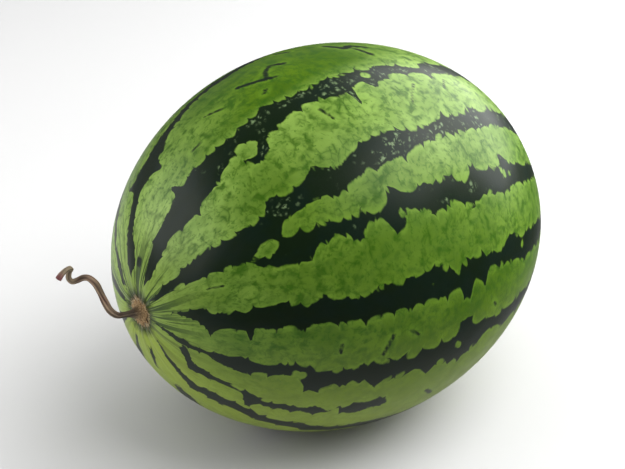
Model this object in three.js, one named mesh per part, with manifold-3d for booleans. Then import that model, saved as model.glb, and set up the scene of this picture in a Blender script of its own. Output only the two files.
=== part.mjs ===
// A whole watermelon lying on its side, with its dried, curled stalk still attached.
//
// Millimetres, +Z up. The origin is the middle of the small flat spot that the fruit rests on.
// The fruit's long axis runs along X, with the stalk end towards -X and the blossom end towards +X.
//
// The fruit grew as one solid piece, so it is one closed body. The stalk is the only other piece:
// a woody tube that curls, and that flares into a corky foot where it sits on the fruit.

import * as THREE from "three";
import { mergeVertices } from "three/addons/utils/BufferGeometryUtils.js";
import Module from "manifold-3d";

// The fruit: an ellipsoid with a circular girth.
const HALF_LENGTH = 151.3;
const HALF_WIDTH = 125;
const REST_SINK = 3;
const AXIS_HEIGHT = HALF_WIDTH - REST_SINK;

// Shallow hollows at the two ends: how deep they are on the axis, and how far they spread.
const STALK_HOLLOW = { depth: 2.5, spread: 14 };
const BLOSSOM_HOLLOW = { depth: 1.4, spread: 9 };

// The stalk, and the corky foot that it grows out of. The foot's underside follows the stalk
// hollow at a small gap, and its top is given as [radius, height above the foot's rim].
const STALK_RADIUS = 2.1;
const FOOT_GAP = 0.3;
const FOOT_EDGE = 0.9;
const FOOT_UNDERSIDE_RADII = [0, 2, 4, 6, 8];
const FOOT_TOP = [
  [8, 0],
  [5.2, 0.8],
  [3.2, 2],
  [2.3, 4],
  [0, 5.5],
];

// How finely the curved surfaces are faceted.
const GIRTH_SIDES = 60;
const RING_STEP = 5;
const END_RING_STEP = 2;
const END_REACH = 10;
const FOOT_SIDES = 20;
const STALK_SIDES = 10;
const STALK_STEPS = 64;

// The stalk's route from the stalk end of the fruit: [outwards, sideways to +Y, upwards].
// It leaves along the fruit's axis, climbs, runs level, dips, and ends in a small hook.
const STALK_ROUTE = [
  [-1, 0, -0.2],
  [3, 0, 0.7],
  [8, 0, 2],
  [14, -0.5, 4],
  [18, 1, 8],
  [19, 5, 13],
  [19.5, 9, 18],
  [20, 13, 22],
  [21.5, 18, 24],
  [23.5, 22, 23],
  [26, 24.5, 21],
  [28.5, 26, 20.5],
  [30, 27, 23],
  [29.5, 27, 26.5],
  [28.5, 26, 29.5],
  [32.5, 24.5, 31],
  [36.5, 23.5, 29.5],
  [39, 23, 27.5],
];

const SKIN_COLOUR = 0x6f9a35;
const STALK_COLOUR = 0x7a6a52;

const wasm = await Module();
wasm.setup();

// A closed mesh whose shared corners are merged, as a solid that can be cut and joined.
function toSolid(geometry) {
  const bare = geometry.clone();
  bare.deleteAttribute("normal");
  bare.deleteAttribute("uv");
  const merged = mergeVertices(bare);
  const mesh = new wasm.Mesh({
    numProp: 3,
    vertProperties: new Float32Array(merged.attributes.position.array),
    triVerts: new Uint32Array(merged.index.array),
  });
  return new wasm.Manifold(mesh);
}

// The solid's surface, as a geometry with normals of its own.
function toGeometry(solid) {
  const mesh = solid.getMesh();
  const geometry = new THREE.BufferGeometry();
  geometry.setAttribute("position", new THREE.BufferAttribute(mesh.vertProperties, mesh.numProp));
  geometry.setIndex(new THREE.BufferAttribute(mesh.triVerts, 1));
  geometry.computeVertexNormals();
  return geometry;
}

// How far a hollow pulls the surface in, at this distance from the fruit's axis.
function hollowDepth(hollow, radius) {
  return hollow.depth * Math.exp(-((radius / hollow.spread) ** 2));
}

// Place along the fruit's axis (blossom end positive) of the surface at this angle from the stalk.
function axisPlace(angle) {
  const radius = HALF_WIDTH * Math.sin(angle);
  const hollow = angle < Math.PI / 2 ? STALK_HOLLOW : BLOSSOM_HOLLOW;
  const inward = hollowDepth(hollow, radius) * Math.sign(Math.cos(angle));
  return inward - HALF_LENGTH * Math.cos(angle);
}

// Angles of the rings from the stalk end to the blossom end, closer together near both ends.
function ringAngles() {
  const angles = [0];
  while (angles.at(-1) < 180) {
    const last = angles.at(-1);
    const nearEnd = last < END_REACH || last >= 180 - END_REACH;
    angles.push(last + (nearEnd ? END_RING_STEP : RING_STEP));
  }
  return angles.map(THREE.MathUtils.degToRad);
}

// Turns a lathe's own axis, +Y, to the row's X and lifts it to the fruit's axis.
function layAlongX(geometry, direction) {
  geometry.rotateZ(-direction * Math.PI / 2);
  geometry.translate(0, 0, AXIS_HEIGHT);
  return geometry;
}

function makeMelon() {
  const profile = ringAngles().map(
    (angle) => new THREE.Vector2(Math.abs(HALF_WIDTH * Math.sin(angle)), axisPlace(angle)),
  );
  profile[0].x = 0;
  profile[profile.length - 1].x = 0;
  const body = layAlongX(new THREE.LatheGeometry(profile, GIRTH_SIDES), 1);
  const below = new THREE.BoxGeometry(2 * HALF_LENGTH, 2 * HALF_WIDTH, 2 * REST_SINK);
  below.translate(0, 0, -REST_SINK);
  return toGeometry(toSolid(body).subtract(toSolid(below)));
}

// The corky foot: its underside follows the hollow, and its top narrows into the stalk.
function makeFoot() {
  const underside = FOOT_UNDERSIDE_RADII.map((radius) => {
    const angle = Math.asin(radius / HALF_WIDTH);
    return new THREE.Vector2(radius, FOOT_GAP - axisPlace(angle));
  });
  const rim = underside.at(-1).y + FOOT_EDGE;
  const top = FOOT_TOP.map(([radius, height]) => new THREE.Vector2(radius, rim + height));
  return layAlongX(new THREE.LatheGeometry([...underside, ...top], FOOT_SIDES), -1);
}

function makeTube() {
  const places = STALK_ROUTE.map(
    ([out, side, up]) => new THREE.Vector3(-HALF_LENGTH - out, side, AXIS_HEIGHT + up),
  );
  const section = new THREE.Shape().absarc(0, 0, STALK_RADIUS, 0, 2 * Math.PI, false);
  return new THREE.ExtrudeGeometry(section, {
    steps: STALK_STEPS,
    curveSegments: STALK_SIDES / 2,
    extrudePath: new THREE.CatmullRomCurve3(places),
  });
}

function makeStalk() {
  return toGeometry(toSolid(makeTube()).add(toSolid(makeFoot())));
}

function namedMesh(name, geometry, colour, roughness) {
  const material = new THREE.MeshStandardMaterial({ color: colour, roughness, metalness: 0 });
  const mesh = new THREE.Mesh(geometry, material);
  mesh.name = name;
  return mesh;
}

const watermelon = new THREE.Group();
watermelon.add(namedMesh("melon", makeMelon(), SKIN_COLOUR, 0.35));
watermelon.add(namedMesh("stalk", makeStalk(), STALK_COLOUR, 0.85));

export default watermelon;
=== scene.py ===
# %% [markdown]
# # A whole watermelon with its dried stalk
#
# The object is a striped oval watermelon lying on its side, with the dried stalk still on it.
# It has two pieces: the fruit, which grew as one solid thing, and the stalk.
# The fruit's shape is simple, so nearly all of the work goes into its skin: where each stripe
# runs, how its edge breaks up into lobes and teeth, and how wax makes it shine.
#
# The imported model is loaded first. It is the frame: it says where everything is, and how big.

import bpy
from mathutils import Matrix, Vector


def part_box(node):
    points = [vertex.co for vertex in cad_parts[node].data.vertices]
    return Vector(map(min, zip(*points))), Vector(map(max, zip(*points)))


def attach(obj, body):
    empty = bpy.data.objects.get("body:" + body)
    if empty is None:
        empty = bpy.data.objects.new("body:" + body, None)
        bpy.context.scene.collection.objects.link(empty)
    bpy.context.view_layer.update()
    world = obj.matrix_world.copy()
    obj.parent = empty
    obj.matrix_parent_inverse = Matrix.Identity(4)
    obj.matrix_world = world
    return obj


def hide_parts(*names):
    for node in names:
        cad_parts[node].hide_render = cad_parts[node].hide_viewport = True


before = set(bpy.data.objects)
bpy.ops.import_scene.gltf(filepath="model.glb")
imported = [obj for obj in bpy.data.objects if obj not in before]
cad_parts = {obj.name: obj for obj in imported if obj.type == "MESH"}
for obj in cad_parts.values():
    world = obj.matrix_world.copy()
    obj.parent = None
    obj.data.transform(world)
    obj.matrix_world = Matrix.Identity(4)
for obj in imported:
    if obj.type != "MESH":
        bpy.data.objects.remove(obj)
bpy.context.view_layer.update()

# %% [markdown]
# ## Sizes
#
# Lengths are in metres, as Blender likes them. Sizes on a fruit are easier to think of in
# millimetres, so MM turns one into the other. The girth and the height of the fruit's axis come
# from the frame. The fruit is an ellipsoid that is pulled in a little at both ends, so its own
# half length is slightly more than half of its box, and it is named here.

# %% Sizes of the fruit
import math

import bmesh
import bpy
import numpy as np
from mathutils import Vector

MM = 0.001
melon_low, melon_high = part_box("melon")
HALF_WIDTH = (melon_high.y - melon_low.y) / 2
AXIS_HEIGHT = melon_high.z - HALF_WIDTH
HALF_LENGTH = 151.3 * MM
print("half width", round(HALF_WIDTH, 4), "axis height", round(AXIS_HEIGHT, 4))

# %% [markdown]
# ## Helpers for materials
#
# Colours are written as the hex codes that a colour picker shows, which are sRGB, and one
# function turns them to the linear values that the renderer works in. One other function adds a
# node, fills in its settings, connects its inputs and hands back the output that is asked for.
# Four settings come back again and again, so they are named. A Mix node that blends colours has
# its factor at input 0, its colours at inputs 6 and 7, and its result at output 2. A Map Range
# node takes its value, the range it comes from and the range it goes to, at inputs 0 to 4.


# %% Colour and node helpers
def linear(code):
    parts = [int(code[i : i + 2], 16) / 255 for i in (1, 3, 5)]
    return (*(p / 12.92 if p <= 0.04045 else ((p + 0.055) / 1.055) ** 2.4 for p in parts), 1)


def wire(tree, kind, output, inputs, **settings):
    made = tree.nodes.new("ShaderNode" + kind)
    for name, value in settings.items():
        setattr(made, name, value)
    for name, value in inputs.items():
        if isinstance(value, bpy.types.NodeSocket):
            tree.links.new(value, made.inputs[name])
        else:
            made.inputs[name].default_value = value
    return made.outputs[output]


TIMES = {"operation": "MULTIPLY"}
PLUS = {"operation": "ADD"}
SMOOTH = {"interpolation_type": "SMOOTHSTEP"}
BLEND = {"data_type": "RGBA"}


def new_material(name):
    material = bpy.data.materials.new(name)
    material.use_nodes = True
    tree = material.node_tree
    return material, tree, tree.nodes["Principled BSDF"]


print("a mid green in linear light", [round(v, 3) for v in linear("#7fa640")])

# %% [markdown]
# ## Camera, floor and light
#
# The camera looks down on the stalk end from the left.
#
# The fruit lies on a plain white floor under soft white light, as in a product picture. Wax
# mirrors whatever is bright round it, so gloss and plain light are set up apart. Three softboxes
# make the gloss: a broad one on the right shoulder, a faint one in front, and one behind on the
# left that draws the pale rim. The fill lamps light the colours and are kept out of the gloss. A
# wide lamp overhead is shaded so that it only whitens the floor.
#
# A white floor would lie as a grey veil on the dark stripes of the lower half. A studio lays black
# cards beside the fruit against that. Here the floor's paint does it: gloss sees a darker floor
# away from the fruit. In the same way the room looks white but gives little light of its own.


# %% Camera
def make_camera(azimuth, elevation, distance, aim, lens):
    turn, rise = math.radians(azimuth), math.radians(elevation)
    back = Vector(
        (math.sin(turn) * math.cos(rise), -math.cos(turn) * math.cos(rise), math.sin(rise))
    )
    camera = bpy.data.objects.new("camera", bpy.data.cameras.new("camera"))
    camera.data.lens = lens
    camera.location = aim + back * distance
    camera.rotation_mode = "QUATERNION"
    camera.rotation_quaternion = (-back).to_track_quat("-Z", "Y")
    bpy.context.scene.collection.objects.link(camera)
    bpy.context.scene.camera = camera
    return camera


aim = Vector((-15 * MM, 0, AXIS_HEIGHT + 6.2 * MM))
camera = make_camera(azimuth=-38.7, elevation=29.6, distance=0.968, aim=aim, lens=85)
print("camera at", [round(v, 3) for v in camera.location])

# %% Floor and lights
FLOOR_REACH = 2.4
FLOOR_WHITE = 0.43
MIRRORED_PLACE = (-0.15, 0.35, 0)
ROOM_WHITE = 0.9


def make_floor():
    bm = bmesh.new()
    bmesh.ops.create_grid(bm, x_segments=8, y_segments=8, size=FLOOR_REACH)
    mesh = bpy.data.meshes.new("floor")
    bm.to_mesh(mesh)
    bm.free()
    floor = bpy.data.objects.new("floor", mesh)
    bpy.context.scene.collection.objects.link(floor)
    # Flat paint put on with a roller: it scatters light evenly, so the floor has no shine.
    paint, tree, surface = new_material("matt white paint")
    place = wire(tree, "TexCoord", "Object", {})
    away = wire(tree, "VectorMath", "Value", {0: place, 1: MIRRORED_PLACE}, operation="DISTANCE")
    in_gloss = wire(tree, "MapRange", 0, {0: away, 1: 0.35, 2: 0.75, 3: 0.27, 4: 0.015}, **SMOOTH)
    mirrored = wire(tree, "LightPath", "Is Glossy Ray", {})
    shade = wire(tree, "Mix", 0, {0: mirrored, 2: FLOOR_WHITE, 3: in_gloss})
    tree.links.new(shade, surface.inputs["Base Color"])
    surface.inputs["Roughness"].default_value = 1.0
    surface.inputs["Specular IOR Level"].default_value = 0.0
    mesh.materials.append(paint)
    return floor


def make_surroundings(towards_camera, dim, bright):
    """A room that looks white, and lights the fruit a little more from behind than in front."""
    world = bpy.data.worlds.new("white room")
    bpy.context.scene.world = world
    world.use_nodes = True
    tree = world.node_tree
    way = wire(tree, "TexCoord", "Generated", {})
    facing = wire(tree, "VectorMath", "Value", {0: way, 1: towards_camera}, operation="DOT_PRODUCT")
    strength = wire(tree, "MapRange", 0, {0: facing, 1: -0.1, 2: 0.5, 3: bright, 4: dim}, **SMOOTH)
    seen = wire(tree, "LightPath", "Is Camera Ray", {})
    strength = wire(tree, "Mix", 0, {0: seen, 2: strength, 3: ROOM_WHITE})
    tree.links.new(strength, tree.nodes["Background"].inputs["Strength"])
    tree.nodes["Background"].inputs["Color"].default_value = (1, 1, 1, 1)


def area_light(name, place, target, size, watts, gloss, only_on=None):
    """A soft lamp that faces its target. It may be kept out of gloss, or kept to one object."""
    lamp = bpy.data.lights.new(name, "AREA")
    lamp.shape = "RECTANGLE"
    lamp.size, lamp.size_y = size
    lamp.energy = watts
    holder = bpy.data.objects.new(name, lamp)
    holder.location = place
    holder.rotation_mode = "QUATERNION"
    holder.rotation_quaternion = (Vector(target) - Vector(place)).to_track_quat("-Z", "Y")
    holder.visible_glossy = gloss
    bpy.context.scene.collection.objects.link(holder)
    if only_on:
        lit = bpy.data.collections.new(name + " lights only this")
        lit.objects.link(only_on)
        holder.light_linking.receiver_collection = lit


# Each lamp is: its name, its place, its width and height, its watts, and whether gloss sees it.
LAMPS = [
    ("right softbox", (0.975, 0.05, 0.66), (1.15, 1.1), 8.2, True),
    ("front softbox", (0.62, -0.6, 1.05), (0.9, 0.8), 3.4, True),
    ("right fill", (1.15, -0.05, 0.52), (1.2, 1.2), 17, False),
    ("top fill", (0.25, -0.6, 1.3), (1.0, 1.0), 14, False),
    ("left softbox", (-0.95, 0.6, 0.6), (1.5, 0.8), 4.4, True),
    ("left fill", (-0.95, 0.6, 0.4), (1.0, 0.8), 5.0, False),
]

floor = make_floor()
make_surroundings((camera.location - aim).normalized(), dim=0.05, bright=0.15)
fruit_middle = (0, 0, AXIS_HEIGHT)
for name, place, size, watts, gloss in LAMPS:
    area_light(name, place, fruit_middle, size, watts, gloss)
area_light("floor lamp", (-0.3, -0.1, 3.2), (-0.3, 0, 0), (8, 8), 240, True, only_on=floor)
bpy.context.scene.view_settings.view_transform = "Standard"

# %% [markdown]
# ## The fruit's body
#
# A watermelon swells evenly round its axis, so its body is a spun shape. Half an outline is drawn
# once, from the stalk end to the blossom end, and is spun round the long axis. That gives clean
# rings and meridians that follow the way the fruit grew, which the stripes need.

# %% Spin the outline
RINGS = 240
SIDES = 360


def spun_ellipsoid():
    bm = bmesh.new()
    outline = []
    for ring in range(RINGS + 1):
        angle = math.pi * ring / RINGS
        place = (-HALF_LENGTH * math.cos(angle), 0, HALF_WIDTH * math.sin(angle))
        outline.append(bm.verts.new(place))
    edges = [bm.edges.new(pair) for pair in zip(outline, outline[1:])]
    bmesh.ops.spin(
        bm,
        geom=outline + edges,
        cent=(0, 0, 0),
        axis=(1, 0, 0),
        dvec=(0, 0, 0),
        angle=2 * math.pi,
        steps=SIDES,
        use_merge=True,
        use_duplicate=False,
    )
    bmesh.ops.remove_doubles(bm, verts=bm.verts, dist=0.001 * MM)
    bmesh.ops.recalc_face_normals(bm, faces=bm.faces)
    return bm


def to_object(bm, name):
    mesh = bpy.data.meshes.new(name)
    bm.to_mesh(mesh)
    bm.free()
    mesh.shade_smooth()
    made = bpy.data.objects.new(name, mesh)
    bpy.context.scene.collection.objects.link(made)
    return made


melon = to_object(spun_ellipsoid(), "melon_skin")
print("melon faces", len(melon.data.polygons))

# %% [markdown]
# ## Where each point of the skin is
#
# Every point of the skin has two numbers: its angle from the stalk end, 0 to 180 degrees, and its
# place round the girth, with 0 on top, 90 at the front and 180 underneath.
#
# The pattern forms while the fruit is a small ball, and is stretched as it swells. So patterns
# are not laid out on the finished shape but on "growth" coordinates: millimetres along the
# meridian, and millimetres round the widest girth. Near the ends the real girth is smaller, so
# everything there is squeezed into fine lines that run to the stalk, just as on a real fruit.


# %% Measure the skin
def vertex_places(mesh):
    places = np.empty(len(mesh.vertices) * 3)
    mesh.vertices.foreach_get("co", places)
    return places.reshape(-1, 3)


def meridian_table():
    """Angles from the stalk end, and how many millimetres along the skin each one is."""
    angles = np.radians(np.linspace(0, 180, 721))
    speed = np.hypot(HALF_LENGTH * np.sin(angles), HALF_WIDTH * np.cos(angles)) / MM
    steps = (speed[1:] + speed[:-1]) / 2 * np.diff(angles)
    return np.degrees(angles), np.concatenate([[0], np.cumsum(steps)])


skin = vertex_places(melon.data)
from_stalk = np.degrees(np.arccos(np.clip(-skin[:, 0] / HALF_LENGTH, -1, 1)))
round_girth = np.degrees(np.arctan2(-skin[:, 1], skin[:, 2]))
table_angles, table_lengths = meridian_table()
along_mm = np.interp(from_stalk, table_angles, table_lengths)
GIRTH_MM = HALF_WIDTH / MM
MM_PER_DEGREE = GIRTH_MM * math.pi / 180
print("stalk end to blossom end along the skin", round(table_lengths[-1]), "mm")

# %% [markdown]
# ## The stripes
#
# A dark stripe follows each of the fruit's main veins. Each one is written down as stations:
# the angle from the stalk end, and the places round the girth of its two edges, in degrees.
# Between stations the edges run straight, because the fine raggedness comes from the material.
# Stripes fork, end early and have odd islands, and those are what makes a fruit look grown.

# %% Stripe stations
STRIPES = {
    "back shoulder": [
        (8, 268, 276), (14, 269, 279), (24, 266, 274), (40, 264, 272), (60, 266, 273),
        (80, 263, 272), (100, 265, 273), (125, 264, 272), (150, 266, 276), (168, 270, 276),
    ],
    "back crown": [
        (9, 299, 308), (15, 300, 312), (20, 301, 304), (34, 300, 306), (50, 298, 306),
        (70, 301, 308), (86, 299, 308), (110, 300, 307), (130, 298, 306), (160, 296, 305),
    ],
    "crown": [
        (11, 337, 341), (14, 330, 348), (18, 330, 344), (22, 330, 338), (33, 329, 336),
        (35.5, 319, 337), (38, 326, 340), (40, 327, 345), (43, 328, 339), (50, 330, 336),
        (60, 330, 334), (75, 331, 336), (90, 330, 335), (110, 331, 338), (135, 329, 337),
        (150, 328, 336), (168, 330, 338),
    ],
    "upper": [
        (10, 13, 15), (14, 11, 21), (20, 7, 19), (25, 6, 17), (33, 6, 20), (35.5, 5, 20),
        (37, -2, 21), (38.5, 4, 18), (44, 4, 16), (50, 5, 14), (56, 6, 11), (60, 6, 16),
        (66, 5, 14), (72, 7, 13), (78, 9, 13), (82, 7, 16), (84, 8, 15), (85, 9, 24),
        (86, 9, 14), (90, 9, 14), (92, 8, 18), (94, 9, 15), (101, 10, 14), (110, 12, 17),
        (116, 9, 15), (125, 6, 14), (135, 8, 15), (150, 9, 16), (168, 6, 12),
    ],
    "upper hook": [(55, 20, 21), (57, 18, 21), (59, 15, 21), (61, 9, 17)],
    "middle": [
        (8, 41, 45), (12, 41, 47), (16, 38, 46), (22, 39, 46), (26, 38, 49), (34, 38, 49),
        (42, 39, 51), (46, 40, 48), (50, 38, 49), (53, 34, 44), (56, 36, 42.5), (62, 35, 41),
        (66, 34, 43), (67, 35, 45), (69, 37, 42), (74, 33.5, 42), (77, 33, 39.5),
        (88, 32.5, 41), (93, 35, 39), (100, 34.5, 38.5), (103, 33, 39), (108, 35, 38.5),
        (112, 33, 39.5), (120, 33, 38), (127, 32.5, 40), (135, 32, 42), (150, 34, 41),
        (168, 38, 44),
    ],
    "middle fork": [
        (43, 50, 54), (47, 53.5, 56), (50, 48, 57), (55, 49, 57), (59, 50, 54.5),
        (65, 50.5, 54.5), (67.5, 51, 59), (70, 51, 54.5), (74, 52, 55), (77.5, 50, 60),
        (79, 48, 60), (81, 50.5, 55), (86, 51.5, 56), (87.5, 50.5, 58.5), (92, 52, 57),
        (95, 50.5, 58), (99, 54, 60.5), (102.5, 50, 59), (106, 52, 58), (112, 54, 62),
        (116.5, 49, 60), (119, 53, 60.5), (125, 55, 61), (135, 57, 62), (150, 58, 65),
        (166, 60, 65),
    ],
    "front": [
        (16, 67, 68), (18, 67, 70), (22, 66, 74), (25, 67, 79), (26.5, 68, 85), (28, 70, 80),
        (36, 72, 81), (36.8, 72, 86), (38, 71, 80), (46, 70, 80), (51, 74, 80), (57, 72, 81),
        (64, 75, 82), (73, 74, 82), (78, 74, 82), (84, 73, 82), (90, 77, 82), (93, 76, 87),
        (95, 75, 81), (98.5, 75, 84), (100, 77, 79.5), (105, 77, 80), (110, 74, 82),
        (116, 77, 85), (123, 77.5, 86), (135, 80, 87), (150, 82, 89), (168, 84, 89),
    ],
    "lower": [
        (8, 88, 91), (13, 90, 96), (17, 94, 100), (22, 97, 100), (26, 97, 100), (30, 96, 104),
        (36, 96, 104), (41, 97, 102.5), (48, 95.5, 102), (51, 98, 108), (54, 100, 108),
        (57, 101, 105.5), (65, 99, 103), (68.5, 98.5, 107), (72, 98.5, 104), (78, 99, 103),
        (81.5, 97, 107), (85, 97, 103), (89, 96, 106), (92, 92, 107), (95, 95, 103),
        (102, 97.5, 102), (110, 98, 105), (125, 100, 106), (140, 101, 108), (166, 104, 109),
    ],
    "lower thread": [
        (17, 98, 106), (19, 101, 114), (21.5, 114, 124), (23.5, 115, 120), (30, 116, 119),
        (37, 117.5, 120), (39, 118, 129), (42, 119.5, 124), (48, 119.5, 122.5), (56, 118, 122),
        (58, 119, 120.5),
    ],
    "lower thread end": [(62, 118, 121), (65, 115, 122), (69, 115, 119), (74, 116, 118)],
    "low": [
        (11, 126, 131), (15, 131, 138), (24, 136, 142), (26.5, 136, 146), (28, 132, 141),
        (37, 130, 138), (45, 133, 138), (55, 133, 139), (62, 134, 141), (75, 132, 138),
        (90, 133, 140), (108, 134, 139), (130, 132, 139), (150, 134, 142), (168, 138, 144),
    ],
    "low streak": [(12, 161, 166), (15, 164, 171), (18, 169, 173)],
    "under": [
        (26, 160, 166), (31, 160, 172), (36, 166, 174), (50, 168, 174), (66, 167, 175),
        (82, 169, 175), (100, 167, 174), (122, 168, 176), (145, 170, 178), (166, 172, 178),
    ],
    "back low": [
        (10, 196, 202), (18, 195, 205), (32, 197, 206), (48, 199, 205), (62, 196, 204),
        (80, 198, 207), (96, 197, 204), (118, 196, 205), (140, 198, 205), (166, 198, 204),
    ],
    "back middle": [
        (9, 232, 238), (16, 230, 241), (30, 229, 240), (44, 227, 236), (52, 226, 238),
        (66, 229, 236), (84, 228, 239), (100, 230, 238), (118, 227, 237), (138, 229, 236),
        (168, 232, 238),
    ],
    "back middle fork": [
        (50, 238, 242), (56, 241, 247), (68, 243, 249), (84, 242, 250), (98, 244, 250),
        (116, 243, 249), (134, 245, 250), (150, 248, 252),
    ],
    "back thread": [(20, 252, 255), (34, 251, 256), (46, 252, 255), (58, 252, 254)],
}

# %% [markdown]
# Besides the stripes there are small dark marks, as lines of points with a width, and pale
# islands inside the stripes, as a place and a radius in millimetres.

# %% Marks and islands
MARKS = [
    ([(68, -11), (71, -8), (74, -5.5), (76, -9.5), (79, -12), (81.5, -9)], 1.5),
    ([(73, -6), (76, -4)], 1.2),
    ([(96, -12), (98, -6), (101, -8), (104, -5)], 2.2),
    ([(100, -6), (101.5, 2)], 1.4),
    ([(86, -21), (88, -17)], 1.6),
    ([(47, -3.5), (50, -2.5)], 1.0),
    ([(57, -11), (60.5, -7)], 0.9),
    ([(69.5, 0), (71, -1)], 1.0),
    ([(75.5, 17), (76.5, 22)], 0.7),
    ([(97, 26.5), (99, 23.5), (102, 20)], 0.7),
    ([(111, 23), (114, 19)], 0.6),
    ([(29, 56), (33, 57)], 0.9),
    ([(71.5, 89), (69, 95)], 1.1),
    ([(59, 89), (58.5, 92)], 0.8),
    ([(76, 89), (78, 91)], 0.8),
    ([(102, 92), (103, 93.5)], 0.7),
    ([(85, 117), (88, 121)], 1.4),
    ([(15, -8), (15, -2)], 3.0),
    ([(64, 192), (70, 189), (74, 191)], 1.6),
    ([(92, 284), (97, 288), (103, 285)], 1.8),
    ([(110, 216), (118, 219)], 1.6),
    ([(52, 286), (58, 283)], 1.4),
    ([(130, 152), (137, 155)], 1.6),
]
ISLANDS = [
    (52.5, 15.5, 3.4), (56, 13.5, 3.4), (60.5, 9, 2.0), (48, 50.5, 5.5), (92, 12, 2.4),
    (61, 52.5, 1.2), (114.5, 55.5, 3.4), (118, 56.5, 2.4), (49, 101, 3.0), (91, 100.5, 4.6),
    (79, 55, 1.6), (83, 77, 1.0), (75, 77.5, 1.2), (116, 80, 1.6), (88, 235, 4.0),
    (70, 232, 2.6), (104, 268, 3.2), (64, 270, 2.2), (58, 201, 2.4), (92, 136.5, 2.0),
]


def turn_between(first, second):
    """The smaller way round the girth from one place to another, in degrees."""
    return (first - second + 180) % 360 - 180


def along_at(angle):
    return np.interp(angle, table_angles, table_lengths)


def inside_stripe(stations):
    """How many millimetres of growth each point is inside a stripe. It is negative outside."""
    angles, near, far = np.array(stations, float).T
    near, far = np.interp(from_stalk, angles, near), np.interp(from_stalk, angles, far)
    off_middle = np.abs(turn_between(round_girth, (near + far) / 2))
    across = ((far - near) / 2 - off_middle) * MM_PER_DEGREE
    past_start = along_mm - along_at(angles[0])
    before_end = along_at(angles[-1]) - along_mm
    return np.minimum(across, np.minimum(past_start, before_end))


def growth_offset(angle, girth):
    """How far each point is from a place, along and across, in millimetres of growth."""
    across = turn_between(round_girth, girth) * MM_PER_DEGREE
    return np.stack([along_mm - along_at(angle), across], axis=1)


def inside_mark(line, width):
    nearest = np.full(len(skin), np.inf)
    for start, end in zip(line, line[1:]):
        offset = growth_offset(*start)
        step = np.array(
            [along_at(end[0]) - along_at(start[0]), (end[1] - start[1]) * MM_PER_DEGREE]
        )
        share = np.clip(offset @ step / (step @ step), 0, 1)
        nearest = np.minimum(nearest, np.linalg.norm(offset - share[:, None] * step, axis=1))
    return width - nearest


FAR_OUTSIDE = -60.0
stripe_depth = np.full(len(skin), FAR_OUTSIDE)
for stations in STRIPES.values():
    stripe_depth = np.maximum(stripe_depth, inside_stripe(stations))
mark_depth = np.full(len(skin), FAR_OUTSIDE)
for line, width in MARKS:
    mark_depth = np.maximum(mark_depth, inside_mark(line, width))
for angle, girth, radius in ISLANDS:
    island = np.linalg.norm(growth_offset(angle, girth), axis=1) - radius
    stripe_depth = np.minimum(stripe_depth, island)
print("dark share of the skin", round(float((stripe_depth > 0).mean()), 3))

# %% [markdown]
# ## The fruit's shape
#
# No fruit is a perfect ellipsoid. The girth swells and flattens by under a millimetre, both ends
# sink in a little, fine pleats run out from the stalk, and the fruit's own weight presses a small
# flat spot where it lies. Each of those is a small move of the vertices, worked out by a formula.

# %% Shape the fruit
STALK_HOLLOW = (2.5 * MM, 14 * MM)
BLOSSOM_HOLLOW = (1.4 * MM, 9 * MM)
PLEAT_DEPTH = 0.45 * MM
PLEAT_PLACE = 15 * MM
FLAT_SOFTNESS = 0.6 * MM


def swell(angle, girth):
    """A gentle unevenness of the girth, in metres."""
    waves = 0.55 * np.cos(3 * girth + 0.6) + 0.35 * np.cos(2 * girth - 0.9 + angle)
    waves += 0.25 * np.cos(5 * girth + 2 * angle)
    return waves * np.sin(angle) * MM


def end_hollow(radius, hollow):
    depth, spread = hollow
    return depth * np.exp(-((radius / spread) ** 2))


def pleats(radius, girth):
    """Fine grooves that run out from the stalk and fade within a few centimetres."""
    grooves = np.abs(np.sin(4.5 * girth + 0.4)) + 0.7 * np.abs(np.sin(7.5 * girth + 1.3))
    fade = (radius / PLEAT_PLACE) * np.exp(1 - radius / PLEAT_PLACE)
    return PLEAT_DEPTH * (grooves - 1) * fade


def blossom_scar(radius, girth):
    """The button that the flower left: a low ring round a small pit."""
    ring = 0.5 * MM * np.exp(-(((radius - 5 * MM) / (2 * MM)) ** 2))
    return ring * (1 + 0.3 * np.cos(5 * girth)) - 0.6 * MM * np.exp(-((radius / (2 * MM)) ** 2))


def shaped(points):
    angle, girth = np.radians(from_stalk), np.radians(round_girth)
    radius = np.hypot(points[:, 1], points[:, 2])
    widened = radius + swell(angle, girth)
    at_stalk = from_stalk < 90
    inward = end_hollow(radius, STALK_HOLLOW) - pleats(radius, girth)
    outward = blossom_scar(radius, girth) - end_hollow(radius, BLOSSOM_HOLLOW)
    x = points[:, 0] + np.where(at_stalk, inward, outward)
    y = -widened * np.sin(girth)
    z = AXIS_HEIGHT + widened * np.cos(girth)
    z = (z + np.sqrt(z**2 + FLAT_SOFTNESS**2)) / 2
    return np.stack([x, y, z], axis=1)


shape = shaped(skin)
melon.data.vertices.foreach_set("co", shape.ravel())
melon.data.update()
print("fruit box in mm", np.round(shape.min(axis=0) / MM, 1), np.round(shape.max(axis=0) / MM, 1))

# %% [markdown]
# ## Numbers that the skin carries
#
# A material can read numbers that the mesh carries at each vertex. The skin carries its growth
# coordinates, how deep each point is inside a stripe or a small mark, its angle from the stalk
# end, and its distance from the axis, which the rings round the stalk and the blossom scar need.
# Another says how far it faces down. The last three say where the ground is darker, where the
# pale ovals are thickest, and how deep each point is inside the pale spot where the fruit lay on
# the field. The ground is darker on the crown, whose green is deeper, and on the lower front,
# where painted shade for the side that the light misses is added to a deeper green.


# %% Attributes of the skin
def add_numbers(mesh, name, values):
    made = mesh.attributes.new(name, "FLOAT", "POINT")
    made.data.foreach_set("value", np.ascontiguousarray(values, np.float32))


def add_vectors(mesh, name, values):
    made = mesh.attributes.new(name, "FLOAT_VECTOR", "POINT")
    made.data.foreach_set("vector", np.ascontiguousarray(values, np.float32).ravel())


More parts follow.
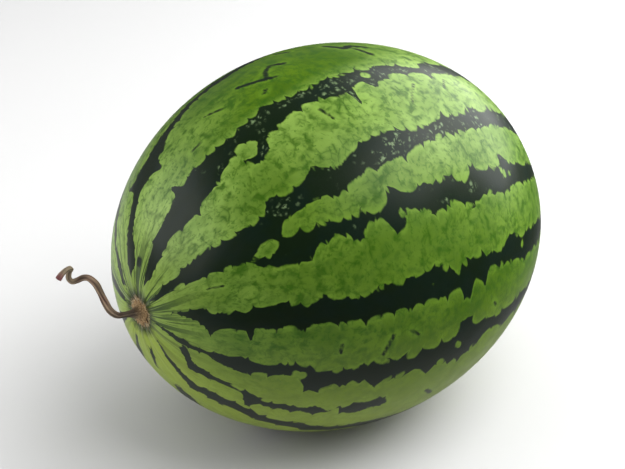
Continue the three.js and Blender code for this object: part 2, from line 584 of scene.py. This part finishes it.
girth_turn = np.radians(round_girth)
growth = np.stack(
    [along_mm, GIRTH_MM * np.cos(girth_turn), GIRTH_MM * np.sin(girth_turn)], axis=1
)
add_vectors(melon.data, "growth", growth)
full_girth = np.sin(np.radians(from_stalk))
# Girth places, in degrees: painted shade on deep green, the deep green crown, the most ovals.
DEEP_AND_SHADED_GIRTH = 100
CROWN_GIRTH = -38
SPECKLED_GIRTH = 18
crown_reach = np.clip(np.minimum((125 - from_stalk) / 35, (from_stalk - 22) / 50), 0, 1)
# The lower front is darker: a deeper green, with painted shade for the side the light misses.
deep_green_and_painted_shade = (0.5 + 0.5 * np.cos(girth_turn - math.radians(DEEP_AND_SHADED_GIRTH))) ** 2.6
deep_crown = crown_reach * np.clip(5 - np.abs(turn_between(round_girth, CROWN_GIRTH)) / 10, 0, 1)
deep_patch = 0.42 * np.exp(-np.sum((growth_offset(60, 34) / 48) ** 2, axis=1))
deep_green_and_painted_shade = np.clip(deep_green_and_painted_shade + deep_crown + deep_patch, 0, 1)
speckled = np.clip(0.3 + np.cos(2 * (girth_turn - math.radians(SPECKLED_GIRTH))), 0, 1)
SPOT_PLACE = (88, 184)
SPOT_HALF_SIZE = (62, 46)
spot_offset = growth_offset(*SPOT_PLACE) / np.array(SPOT_HALF_SIZE)
skin_numbers = {
    "stripe": stripe_depth,
    "mark": mark_depth,
    "from_stalk": from_stalk,
    "from_axis": np.hypot(skin[:, 1], skin[:, 2]) / MM,
    "underside": -np.cos(girth_turn),
    "deep_green_and_painted_shade": deep_green_and_painted_shade * full_girth**0.3,
    "speckled": speckled * full_girth**2,
    "ground_spot": 1.5 - 1.5 * np.linalg.norm(spot_offset, axis=1),
}
for name, values in skin_numbers.items():
    add_numbers(melon.data, name, values)
print("numbers at each vertex", list(skin_numbers))

# %% [markdown]
# ## The skin's own flat map
#
# To be used outside Blender, the skin's pattern is to be painted into a picture, through a flat map
# of the skin. A plain cylinder map would waste room and blur the widest girth. Here the skin
# between the two ends is cut into two half bands, which lie one above the other, and the two ends
# are discs beside them. All four pieces are at the same scale, so no part of the skin is blurred.

# %% Flat map
CAP_ANGLE = 38
MAP_MARGIN = 6


def mesh_numbers(items, name):
    found = np.empty(len(items), np.int32)
    items.foreach_get(name, found)
    return found


def lay_flat(mesh):
    """Gives the skin its flat map, and returns the map's side in millimetres of skin."""
    corner = mesh_numbers(mesh.loops, "vertex_index")
    first = mesh_numbers(mesh.polygons, "loop_start")
    count = mesh_numbers(mesh.polygons, "loop_total")
    face_of = np.repeat(np.arange(len(first)), count)
    middle = np.add.reduceat(growth[corner], first, axis=0) / count[:, None]
    face_girth = np.degrees(np.arctan2(middle[:, 2], middle[:, 1])) % 360
    face_angle = np.interp(middle[:, 0], table_lengths, table_angles)

    cap_reach, half_girth = along_at(CAP_ANGLE), 180 * MM_PER_DEGREE
    band_length = table_lengths[-1] - 2 * cap_reach
    side = 3 * MAP_MARGIN + max(half_girth + 2 * cap_reach, 2 * band_length)

    far_half = (face_girth >= 180)[face_of]
    girth = face_girth[face_of] + turn_between(round_girth[corner], face_girth[face_of])
    band_across = MAP_MARGIN + (girth - 180 * far_half) * MM_PER_DEGREE
    band_up = MAP_MARGIN + along_mm[corner] - cap_reach
    band_up += far_half * (band_length + MAP_MARGIN)

    at_blossom = (face_angle > 90)[face_of]
    reach = np.where(at_blossom, table_lengths[-1] - along_mm[corner], along_mm[corner])
    cap_across = 2 * MAP_MARGIN + half_girth + cap_reach + reach * np.cos(np.radians(girth))
    unmirrored = np.where(at_blossom, 1, -1)
    cap_up = MAP_MARGIN + cap_reach + reach * unmirrored * np.sin(np.radians(girth))
    cap_up += at_blossom * (2 * cap_reach + MAP_MARGIN)

    in_cap = (np.abs(face_angle - 90) > 90 - CAP_ANGLE)[face_of]
    across = np.where(in_cap, cap_across, band_across) / side
    up = np.where(in_cap, cap_up, band_up) / side
    layer = mesh.uv_layers.new(name="OFBake")
    layer.uv.foreach_set("vector", np.stack([across, up], axis=1).astype(np.float32).ravel())
    return side


print("flat map side", round(lay_flat(melon.data)), "mm of skin")

# %% [markdown]
# ## Patterns that the rind is made of
#
# Three small patterns do most of the work, and each is sized in millimetres of growth. Patches
# are clouds with a chosen hardness. Drift pushes the coordinates about, so that a pattern laid on
# them isn't too regular. Cusps are the dark points between the lobes of a stripe's edge: lobes
# look like the cells of a Voronoi pattern, so a stripe reaches furthest into the light ground
# along cell borders, and less and less away from them.


# %% Patches, drift and cusps
def patches(tree, place, size, low, high, detail=2, roughness=0.55):
    """Clouds of about this size, from 0 to 1. Low and high set how much is filled, and how hard."""
    inputs = {"Vector": place, "Scale": 1 / size, "Detail": detail, "Roughness": roughness}
    cloud = wire(tree, "TexNoise", 0, inputs)
    return wire(tree, "MapRange", 0, {0: cloud, 1: low, 2: high}, **SMOOTH)


def squeezed(along, across):
    """What coordinates are multiplied by, to make a pattern longer one way than the other."""
    return (1 / along, 1 / across, 1 / across)


def drifted(tree, place, size, reach):
    push = wire(tree, "TexNoise", 1, {"Vector": place, "Scale": 1 / size})
    centred = wire(tree, "VectorMath", 0, {0: push, 1: (0.5, 0.5, 0.5)}, operation="SUBTRACT")
    shift = wire(tree, "VectorMath", 0, {0: centred, "Scale": reach}, operation="SCALE")
    return wire(tree, "VectorMath", 0, {0: place, 1: shift}, **PLUS)


def cusps(tree, place, along, across, width, reach):
    """Millimetres that a stripe gains along the borders of cells of this size."""
    cell_place = wire(tree, "VectorMath", 0, {0: place, 1: squeezed(along, across)}, **TIMES)
    cells = {"Vector": cell_place, "Scale": 1, "Randomness": 0.85}
    border = wire(tree, "TexVoronoi", "Distance", cells, feature="DISTANCE_TO_EDGE")
    away = wire(tree, "Math", 0, {0: border, 1: -along / width}, **TIMES)
    fall = wire(tree, "Math", 0, {0: away}, operation="EXPONENT")
    return wire(tree, "Math", 0, {0: fall, 1: reach}, **TIMES)


# %% [markdown]
# ## Where the rind is dark
#
# The skin carries how deep each point is inside a stripe. Small and large cusps, fine teeth and a
# slow wobble are added to that depth, and wherever the sum is above zero the rind is dark. Slow
# patches choose between small and large lobes. Teeth show in some patches and not in others.


# %% Ragged stripes
SMALL_LOBE = 8.5
LARGE_LOBE = 17


def stripe_margin(tree, grown, drift):
    """Millimetres inside the ragged stripe, negative on the light ground, and the cusp lines."""
    margin = wire(tree, "Attribute", "Fac", {}, attribute_name="stripe")
    small = cusps(tree, drift, along=SMALL_LOBE, across=20, width=0.95, reach=4.6)
    large = cusps(tree, drift, along=LARGE_LOBE, across=38, width=1.6, reach=6.5)
    choice = patches(tree, grown, size=34, low=0.42, high=0.6)
    lobes = wire(tree, "Mix", 0, {0: choice, 2: small, 3: large})
    tooth_place = wire(tree, "VectorMath", 0, {0: drift, 1: squeezed(2.6, 5)}, **TIMES)
    tooth = wire(tree, "TexNoise", 0, {"Vector": tooth_place, "Scale": 1, "Detail": 1.5})
    centred = wire(tree, "Math", 0, {0: tooth, 1: 0.5}, operation="SUBTRACT")
    toothed = patches(tree, grown, size=26, low=0.48, high=0.64)
    height = wire(tree, "MapRange", 0, {0: toothed, 3: 1.2, 4: 5.2})
    teeth = wire(tree, "Math", 0, {0: centred, 1: height}, **TIMES)
    wobble_cloud = wire(tree, "TexNoise", 0, {"Vector": grown, "Scale": 1 / 26})
    wobble = wire(tree, "MapRange", 0, {0: wobble_cloud, 1: 0.25, 2: 0.75, 3: -3, 4: -0.5})
    for gain in (teeth, wobble, lobes):
        margin = wire(tree, "Math", 0, {0: margin, 1: gain}, **PLUS)
    mark = wire(tree, "Attribute", "Fac", {}, attribute_name="mark")
    mark = wire(tree, "Math", 0, {0: mark, 1: teeth}, **PLUS)
    return wire(tree, "Math", 0, {0: margin, 1: mark}, operation="MAXIMUM"), lobes


print("lobes along a stripe", SMALL_LOBE, "and", LARGE_LOBE, "mm")

# %% [markdown]
# ## The light ground
#
# The ground isn't one green. Slow clouds run from a deep leaf green to a yellow green, and finer
# mottling darkens it again. On the crown and the lower front every green turns deeper, and on the
# lower front that is painted shade as well. Thin dark lines part the lobes and run on into the
# ground, and short veins and specks lie between them, densest in the middle of each band. Right
# next to a stripe the lobes are clean and bright.


# %% Light ground colour
def light_ground(tree, grown, drift, margin, lobes):
    # Deeper green on the crown, and painted shade on a deeper green on the lower front.
    deep_and_shaded = wire(tree, "Attribute", "Fac", {}, attribute_name="deep_green_and_painted_shade")
    slow = patches(tree, grown, size=42, low=0.36, high=0.64, detail=3)
    pale = wire(tree, "Mix", 2, {0: slow, 6: linear("#86a948"), 7: linear("#a2c562")}, **BLEND)
    rich = wire(tree, "Mix", 2, {0: slow, 6: linear("#426502"), 7: linear("#537604")}, **BLEND)
    colour = wire(tree, "Mix", 2, {0: deep_and_shaded, 6: pale, 7: rich}, **BLEND)
    mottle = patches(tree, drift, size=7, low=0.45, high=0.74, detail=4, roughness=0.62)
    darker = wire(tree, "Mix", 2, {0: deep_and_shaded, 6: linear("#7fa543"), 7: linear("#345a04")}, **BLEND)
    rim = wire(tree, "MapRange", 0, {0: margin, 1: -5, 2: -0.6, 4: 0.5}, **SMOOTH)
    brighter = wire(tree, "Mix", 2, {0: deep_and_shaded, 6: linear("#a0c45c"), 7: linear("#668e1c")}, **BLEND)
    line = wire(tree, "MapRange", 0, {0: lobes, 1: 0.6, 2: 3.6, 4: 0.8})
    broken = patches(tree, drift, size=6, low=0.4, high=0.64)
    line = wire(tree, "Math", 0, {0: line, 1: broken}, **TIMES)
    vein = cusps(tree, drift, along=4.6, across=6.6, width=0.42, reach=0.65)
    vein_patch = patches(tree, grown, size=6, low=0.46, high=0.6, detail=3)
    veins = wire(tree, "Math", 0, {0: vein, 1: vein_patch}, **TIMES)
    fleck_place = wire(tree, "VectorMath", 0, {0: drift, 1: squeezed(2.4, 3.6)}, **TIMES)
    flecks = patches(tree, fleck_place, size=1, low=0.56, high=0.68)
    inner = wire(tree, "MapRange", 0, {0: margin, 1: -2, 2: -7, 3: 0.12, 4: 0.6})
    flecks = wire(tree, "Math", 0, {0: flecks, 1: inner}, **TIMES)
    dark_lines = [(line, "#355c0a"), (veins, "#2f5a08"), (flecks, "#356209")]
    layers = [(mottle, darker), (rim, brighter), *((f, linear(code)) for f, code in dark_lines)]
    for share, shade in layers:
        colour = wire(tree, "Mix", 2, {0: share, 6: colour, 7: shade}, **BLEND)
    return colour


# %% [markdown]
# ## The dark stripes
#
# The stripes are a green so deep that it looks black, a little browner or bluer from place to
# place. Along their middles lie clusters of pale ovals, 1 to 3 mm across, where the light ground
# almost shows again. They are ground colour, but greyed.


# %% Dark stripe colour
def dark_stripe(tree, grown, drift, margin):
    shade = patches(tree, grown, size=22, low=0.38, high=0.62)
    colour = wire(tree, "Mix", 2, {0: shade, 6: linear("#10200d"), 7: linear("#0f2014")}, **BLEND)
    oval_place = wire(tree, "VectorMath", 0, {0: drift, 1: squeezed(3, 4.6)}, **TIMES)
    cells = {"Vector": oval_place, "Scale": 1}
    middle = wire(tree, "TexVoronoi", "Distance", cells)
    ovals = wire(tree, "MapRange", 0, {0: middle, 1: 0.55, 2: 0.2})
    broken = patches(tree, drift, size=2.4, low=0.42, high=0.58)
    cloud = wire(tree, "TexNoise", 0, {"Vector": grown, "Scale": 1 / 15, "Detail": 3.0})
    speckled = wire(tree, "Attribute", "Fac", {}, attribute_name="speckled")
    raised = wire(tree, "MapRange", 0, {0: speckled, 3: -0.3, 4: 0.1})
    cloud = wire(tree, "Math", 0, {0: cloud, 1: raised}, **PLUS)
    clusters = wire(tree, "MapRange", 0, {0: cloud, 1: 0.48, 2: 0.6}, **SMOOTH)
    inside = wire(tree, "MapRange", 0, {0: margin, 1: 1.2, 2: 4, 4: 0.75}, **SMOOTH)
    for share in (broken, clusters, inside):
        ovals = wire(tree, "Math", 0, {0: ovals, 1: share}, **TIMES)
    return wire(tree, "Mix", 2, {0: ovals, 6: colour, 7: linear("#86a070")}, **BLEND)


# %% [markdown]
# ## The two ends and the underside
#
# Towards the stalk the ground turns pale and yellowish, and thin dark lines run together to the
# stalk. Round the stalk lies a ring of tan cork with a dark green edge. The blossom end has a
# small brown button. The ground colour is yellower towards the underside, and where the fruit
# lay on the field it stayed a creamy yellow.


# %% Colours of the ends
def stalk_end(tree, grown, colour):
    angle = wire(tree, "Attribute", "Fac", {}, attribute_name="from_stalk")
    near = wire(tree, "MapRange", 0, {0: angle, 1: 6, 2: 34, 3: 0.7, 4: 0})
    colour = wire(tree, "Mix", 2, {0: near, 6: colour, 7: linear("#8da641")}, **BLEND)
    line_place = wire(tree, "VectorMath", 0, {0: grown, 1: squeezed(70, 9)}, **TIMES)
    lines = patches(tree, line_place, size=1, low=0.52, high=0.58, detail=3)
    near = wire(tree, "MapRange", 0, {0: angle, 1: 8, 2: 32, 3: 0.95, 4: 0}, **SMOOTH)
    lines = wire(tree, "Math", 0, {0: lines, 1: near}, **TIMES)
    return wire(tree, "Mix", 2, {0: lines, 6: colour, 7: linear("#26420c")}, **BLEND)


def cork_and_button(tree, grown, lumps, colour):
    """Cork to 10 mm from the axis with a dark green edge to 15 mm, and a button of 3 mm."""
    angle = wire(tree, "Attribute", "Fac", {}, attribute_name="from_stalk")
    radius = wire(tree, "Attribute", "Fac", {}, attribute_name="from_axis")
    fibre_place = wire(tree, "VectorMath", 0, {0: grown, 1: squeezed(5, 16)}, **TIMES)
    inputs = {"Vector": fibre_place, "Scale": 1, "Detail": 4, "Roughness": 0.7}
    fibre = wire(tree, "TexNoise", 0, inputs)
    ragged = wire(tree, "MapRange", 0, {0: fibre, 1: 0.2, 2: 0.8, 3: -4, 4: 4})
    reach = wire(tree, "Math", 0, {0: radius, 1: ragged}, **PLUS)
    at_stalk = wire(tree, "Math", 0, {0: angle, 1: 90}, operation="LESS_THAN")
    at_blossom = wire(tree, "Math", 0, {0: angle, 1: 90}, operation="GREATER_THAN")
    ring = wire(tree, "MapRange", 0, {0: reach, 1: 12, 2: 18, 3: 0.95, 4: 0})
    ring = wire(tree, "Math", 0, {0: ring, 1: at_stalk}, **TIMES)
    patch = wire(tree, "MapRange", 0, {0: reach, 1: 9, 2: 11, 3: 1, 4: 0})
    patch = wire(tree, "Math", 0, {0: patch, 1: at_stalk}, **TIMES)
    button = wire(tree, "MapRange", 0, {0: radius, 1: 2.6, 2: 4, 3: 1, 4: 0})
    button = wire(tree, "Math", 0, {0: button, 1: at_blossom}, **TIMES)
    # The cork is lighter on its lumps and darker between them: its own mottling, with painted
    # highlight and shade.
    cork_tone_and_lump_shading = wire(tree, "MapRange", 0, {0: lumps, 1: 0.38, 2: 0.62})
    cork = wire(tree, "Mix", 2, {0: cork_tone_and_lump_shading, 6: linear("#4e3c22"), 7: linear("#c2aa7e")}, **BLEND)
    for share, shade in ((ring, linear("#2c3b0e")), (patch, cork), (button, cork)):
        colour = wire(tree, "Mix", 2, {0: share, 6: colour, 7: shade}, **BLEND)
    return colour, wire(tree, "Math", 0, {0: patch, 1: lumps}, **TIMES)


def ground_spot(tree, grown):
    """Where the fruit lay on the ground, from 0 to 1."""
    spot = wire(tree, "Attribute", "Fac", {}, attribute_name="ground_spot")
    cloud = wire(tree, "TexNoise", 0, {"Vector": grown, "Scale": 1 / 24, "Detail": 4.0})
    uneven = wire(tree, "MapRange", 0, {0: cloud, 1: 0.25, 2: 0.75, 3: -0.35, 4: 0.35})
    reach = wire(tree, "Math", 0, {0: spot, 1: uneven}, **PLUS)
    return wire(tree, "MapRange", 0, {0: reach, 1: 0.2, 2: 0.9, 4: 0.85}, **SMOOTH)


# %% [markdown]
# ## Putting the rind together
#
# The colour is the light ground, with the stripes laid over it. The wax isn't even, so the gloss
# varies a little in patches. The relief is very fine: a faint orange-peel texture about a
# millimetre across, and corky roughness right round the stalk.


# %% Rind material
def make_rind():
    # The skin grew under a thin natural wax and was wiped clean, which gives a soft, broad gloss.
    material, tree, surface = new_material("waxed watermelon rind")
    grown = wire(tree, "Attribute", "Vector", {}, attribute_name="growth")
    drift = drifted(tree, grown, size=19, reach=10)
    margin, lobes = stripe_margin(tree, grown, drift)
    ground = light_ground(tree, grown, drift, margin, lobes)
    ground = stalk_end(tree, grown, ground)
    under = wire(tree, "Attribute", "Fac", {}, attribute_name="underside")
    yellowing = wire(tree, "MapRange", 0, {0: under, 1: -0.05, 2: 0.8, 4: 0.7})
    ground = wire(tree, "Mix", 2, {0: yellowing, 6: ground, 7: linear("#93a531")}, **BLEND)
    spot = ground_spot(tree, grown)
    ground = wire(tree, "Mix", 2, {0: spot, 6: ground, 7: linear("#cdc07c")}, **BLEND)
    stripe = dark_stripe(tree, grown, drift, margin)
    dark = wire(tree, "MapRange", 0, {0: margin, 1: -1.1, 2: 0.8}, **SMOOTH)
    faded = wire(tree, "MapRange", 0, {0: spot, 3: 1, 4: 0.3})
    dark = wire(tree, "Math", 0, {0: dark, 1: faded}, **TIMES)
    colour = wire(tree, "Mix", 2, {0: dark, 6: ground, 7: stripe}, **BLEND)
    place = wire(tree, "TexCoord", "Object", {})
    inputs = {"Vector": place, "Scale": 1 / (2.4 * MM), "Detail": 3.0, "Roughness": 0.6}
    lumps = wire(tree, "TexNoise", 0, inputs)
    colour, corky = cork_and_button(tree, grown, lumps, colour)
    tree.links.new(colour, surface.inputs["Base Color"])

    wax = wire(tree, "TexNoise", 0, {"Vector": grown, "Scale": 1 / 14, "Detail": 3.0})
    gloss = wire(tree, "MapRange", 0, {0: wax, 1: 0.3, 2: 0.7, 3: 0.28, 4: 0.38})
    tree.links.new(gloss, surface.inputs["Roughness"])
    surface.inputs["Specular IOR Level"].default_value = 0.4
    peel = wire(tree, "TexNoise", 0, {"Vector": grown, "Scale": 1 / 1.3})
    raised = wire(tree, "Math", 0, {0: corky, 1: 25}, **TIMES)
    height = wire(tree, "Math", 0, {0: peel, 1: raised}, **PLUS)
    relief = wire(tree, "Bump", 0, {"Strength": 0.35, "Distance": 0.12 * MM, "Height": height})
    tree.links.new(relief, surface.inputs["Normal"])
    return material


melon.data.materials.append(make_rind())
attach(melon, "root")
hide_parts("melon")
print("rind nodes", len(melon.data.materials[0].node_tree.nodes))

# %% [markdown]
# ## The stalk
#
# The stalk is woody and dry. It leaves the fruit along its axis, climbs, runs level, dips, and
# ends in a small hook, where it was cut. It is 3 to 4 mm thick, angular, and grooved lengthwise
# with a slow twist, and it flares into a corky foot that grips the fruit with short roots.
#
# A curve with a round bevel would give an even hose. Here a closed cylinder is cut into many
# rings and bent along the route instead, and its radius depends on where along and where round
# it is, so one continuous surface makes the foot, the ridges and the tip.

# %% Route of the stalk
# Each place is: out from the end of the fruit, sideways, and up from the axis, in millimetres.
STALK_ROUTE = [
    (-2.4, 0, 0), (3, 0, 0.7), (8, 0, 2), (14, -0.5, 4), (18, 1, 8), (19, 5, 13),
    (19.5, 9, 18), (20, 13, 22), (21.5, 18, 24), (23.5, 22, 23), (26, 24.5, 21),
    (28.5, 26, 20.5), (30, 27, 23), (29.5, 27, 26.5), (28.5, 26, 29.5), (32.5, 24.5, 31),
    (36.5, 23.5, 29.5), (39, 23, 27.5),
]
STALK_RINGS = 340
STALK_SIDES = 96


def smooth_route(points, count):
    """Evenly spaced places along a smooth curve through the points."""
    ends = [2 * points[0] - points[1], *points, 2 * points[-1] - points[-2]]
    places = []
    for before, start, end, after in zip(ends, ends[1:], ends[2:], ends[3:]):
        for share in np.linspace(0, 1, 40, endpoint=False):
            pull = (2 * before - 5 * start + 4 * end - after) * share**2
            pull += (3 * start - before - 3 * end + after) * share**3
            places.append(start + ((end - before) * share + pull) / 2)
    places = np.array([*places, points[-1]])
    lengths = np.concatenate([[0], np.cumsum(np.linalg.norm(np.diff(places, axis=0), axis=1))])
    spaced = np.linspace(0, lengths[-1], count)
    places = np.stack([np.interp(spaced, lengths, places[:, k]) for k in range(3)], axis=1)
    return places, spaced


def carried_frames(places):
    """The way ahead, and two ways across it, carried along the route without twisting."""
    ahead = np.gradient(places, axis=0)
    ahead /= np.linalg.norm(ahead, axis=1)[:, None]
    first = [np.array([0.0, 1.0, 0.0])]
    for direction in ahead:
        carried = first[-1] - direction * (first[-1] @ direction)
        first.append(carried / np.linalg.norm(carried))
    first = np.array(first[1:])
    return ahead, first, np.cross(ahead, first)


route = [np.array((-HALF_LENGTH / MM - out, side, up)) for out, side, up in STALK_ROUTE]
route_places, route_along = smooth_route(route, STALK_RINGS + 1)
route_ahead, route_first, route_second = carried_frames(route_places)
stalk_length = route_along[-1]
print("stalk length", round(stalk_length), "mm")

# %% [markdown]
# The radius is read off a short list of distances along the stalk and radii: the foot, the waist
# just above it, the even run, and the slightly thicker tip. Five main ridges and finer ones
# between them run along it and twist slowly. On the foot they spread into a fringe of short
# roots, which follows the hollow and the pleats of the fruit's end.

# %% Bend the stalk
RADIUS_ALONG = [
    (0, 8.2), (0.4, 7.8), (1.0, 6.4), (1.8, 4.9), (3.0, 3.6), (5, 2.5), (8, 1.95), (14, 1.75),
    (24, 2.05), (36, 2.1), (48, 1.85), (58, 1.65), (66, 1.5), (74, 1.5), (80, 1.65),
]
TWIST_PER_MM = 0.035
FOOT_LIFT = 0.08
CAP_RINGS = 4


def closed_cylinder():
    """A cylinder of radius 1 and height 1, cut into rings, with rings on its caps too."""
    bm = bmesh.new()
    bmesh.ops.create_cone(
        bm, cap_ends=True, segments=STALK_SIDES, radius1=1, radius2=1, depth=1
    )
    lengthwise = [e for e in bm.edges if abs(e.verts[0].co.z - e.verts[1].co.z) > 0.5]
    bmesh.ops.subdivide_edges(bm, edges=lengthwise, cuts=STALK_RINGS - 1)
    caps = [f for f in bm.faces if len(f.verts) > 4]
    for _ in range(CAP_RINGS):
        bmesh.ops.inset_individual(bm, faces=caps, thickness=1 / (CAP_RINGS + 1))
    bmesh.ops.poke(bm, faces=caps)
    bmesh.ops.recalc_face_normals(bm, faces=bm.faces)
    return bm


def stalk_relief(along, turn):
    """How far the stalk's surface stands out of its even radius, as a share of the radius."""
    twisted = turn + TWIST_PER_MM * along
    ridges = 0.10 * np.cos(5 * twisted) + 0.05 * np.cos(8 * twisted + 1.1)
    ridges += 0.025 * np.cos(17 * twisted + 0.13 * along)
    knots = 0.05 * np.sin(along / 3.1) + 0.04 * np.sin(along / 1.7 + 2 * turn)
    roots = 0.08 * np.cos(9 * turn + 0.7) + 0.06 * np.cos(14 * turn) + 0.05 * np.cos(23 * turn)
    on_foot = np.exp(-((along / 2.6) ** 2))
    return (1 - on_foot) * (ridges + knots) + on_foot * roots


def rind_lean(radius, girth):
    """How far out the rind is at this radius from the stalk, from its place at the middle."""
    bulge = HALF_LENGTH * (np.sqrt(1 - (radius / HALF_WIDTH) ** 2) - 1)
    hollow = end_hollow(0, STALK_HOLLOW) - end_hollow(radius, STALK_HOLLOW)
    return bulge + hollow + pleats(radius, girth)


stalk = to_object(closed_cylinder(), "stalk_wood")
cylinder = vertex_places(stalk.data)
stalk_along = (cylinder[:, 2] + 0.5) * stalk_length
stalk_turn = np.arctan2(cylinder[:, 1], cylinder[:, 0])
out_share = np.hypot(cylinder[:, 0], cylinder[:, 1])
relief = stalk_relief(stalk_along, stalk_turn)
stalk_radius = np.interp(stalk_along, *np.array(RADIUS_ALONG).T) * (1 + relief) * out_share


def along_route(values):
    columns = [np.interp(stalk_along, route_along, values[:, k]) for k in range(3)]
    return np.stack(columns, axis=1)


across = np.cos(stalk_turn)[:, None] * along_route(route_first)
across += np.sin(stalk_turn)[:, None] * along_route(route_second)
places = (along_route(route_places) + stalk_radius[:, None] * across) * MM
places[:, 2] += AXIS_HEIGHT
radius = np.hypot(places[:, 1], places[:, 2] - AXIS_HEIGHT)
girth = np.arctan2(-places[:, 1], places[:, 2] - AXIS_HEIGHT)
on_foot = np.exp(-((stalk_along / 1.6) ** 2))
places[:, 0] -= on_foot * (rind_lean(radius, girth) + FOOT_LIFT * MM)
at_tip = stalk_along > stalk_length - 0.001
tip_rise = 0.5 * (1 - out_share) + 0.25 * np.cos(3 * stalk_turn + 1) * out_share * (1 - out_share)
places[at_tip] += (tip_rise[:, None] * route_ahead[-1] * MM)[at_tip]
stalk.data.vertices.foreach_set("co", places.ravel())
stalk.data.update()
print("stalk box in mm", np.round(places.min(axis=0) / MM, 1), np.round(places.max(axis=0) / MM, 1))

# %% [markdown]
# ## Dry wood
#
# The stalk dried in the air, so it is matt, and its fibres show as fine streaks along it. The
# grooves are painted dark brown as shade and the ridges tan as light. The foot is tan cork, the
# neck above it is dark, and the end is bleached grey. The cut tip stayed reddish.


# %% Stalk material
fibre_turn = stalk_turn + TWIST_PER_MM * stalk_along
fibre_radius = np.interp(stalk_along, *np.array(RADIUS_ALONG).T) * out_share
fibre = np.stack(
    [stalk_along, fibre_radius * np.cos(fibre_turn), fibre_radius * np.sin(fibre_turn)], axis=1
)
add_vectors(stalk.data, "fibre", fibre)
stalk_numbers = {"along": stalk_along, "ridge": relief, "tip": at_tip * (1 - out_share) * 5}
for name, values in stalk_numbers.items():
    add_numbers(stalk.data, name, values)


def make_wood():
    # The stem shrank round its fibres as it dried, so it is matt, streaked and grooved.
    material, tree, surface = new_material("dry stalk wood")
    place = wire(tree, "Attribute", "Vector", {}, attribute_name="fibre")
    along, ridge, tip = (
        wire(tree, "Attribute", "Fac", {}, attribute_name=name) for name in stalk_numbers
    )
    streak_place = wire(tree, "VectorMath", 0, {0: place, 1: squeezed(9, 0.9)}, **TIMES)
    inputs = {"Vector": streak_place, "Scale": 1, "Detail": 4, "Roughness": 0.65}
    streaks = wire(tree, "TexNoise", 0, inputs)
    shown = wire(tree, "MapRange", 0, {0: streaks, 1: 0.35, 2: 0.65})
    blotch = patches(tree, place, size=7, low=0.42, high=0.6)
    # The ridges are painted lighter, as light, and the grooves darker, as shade.
    high = wire(tree, "MapRange", 0, {0: ridge, 1: 0, 2: 0.16, 4: 0.75})
    low = wire(tree, "MapRange", 0, {0: ridge, 1: -0.03, 2: -0.14, 4: 0.6})
    neck = wire(tree, "MapRange", 0, {0: along, 1: 12, 2: 26, 3: 0.7, 4: 0})
    end = wire(tree, "MapRange", 0, {0: along, 1: 54, 2: 64, 4: 0.55})
    foot = wire(tree, "MapRange", 0, {0: along, 1: 1.5, 2: 6, 3: 0.9, 4: 0})
    cut = wire(tree, "MapRange", 0, {0: along, 1: stalk_length - 5, 2: stalk_length - 1.5})
    cut = wire(tree, "Math", 0, {0: cut, 1: tip}, operation="ADD", use_clamp=True)
    # Each layer is: where it shows, its colour between the fibres, and its colour on them.
    layers = [
        (blotch, "#54453f", "#7f6f5a"),
        (high, "#ab9379", "#ab9379"),
        (low, "#3b2b24", "#3b2b24"),
        (neck, "#35302d", "#625a4f"),
        (end, "#6b6350", "#a39a80"),
        (foot, "#6d5232", "#c0a274"),
        (cut, "#5c3235", "#8e5f5c"),
    ]
    inputs = {0: shown, 6: linear("#57423a"), 7: linear("#8a7060")}
    colour = wire(tree, "Mix", 2, inputs, **BLEND)
    for share, between, on_fibre in layers:
        inputs = {0: shown, 6: linear(between), 7: linear(on_fibre)}
        fibres = wire(tree, "Mix", 2, inputs, **BLEND)
        colour = wire(tree, "Mix", 2, {0: share, 6: colour, 7: fibres}, **BLEND)
    tree.links.new(colour, surface.inputs["Base Color"])
    surface.inputs["Roughness"].default_value = 0.78
    surface.inputs["Specular IOR Level"].default_value = 0.3
    inputs = {"Strength": 0.6, "Distance": 0.25 * MM, "Height": streaks}
    tree.links.new(wire(tree, "Bump", 0, inputs), surface.inputs["Normal"])
    return material


stalk.data.materials.append(make_wood())
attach(stalk, "root")
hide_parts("stalk")
print("stalk faces", len(stalk.data.polygons))
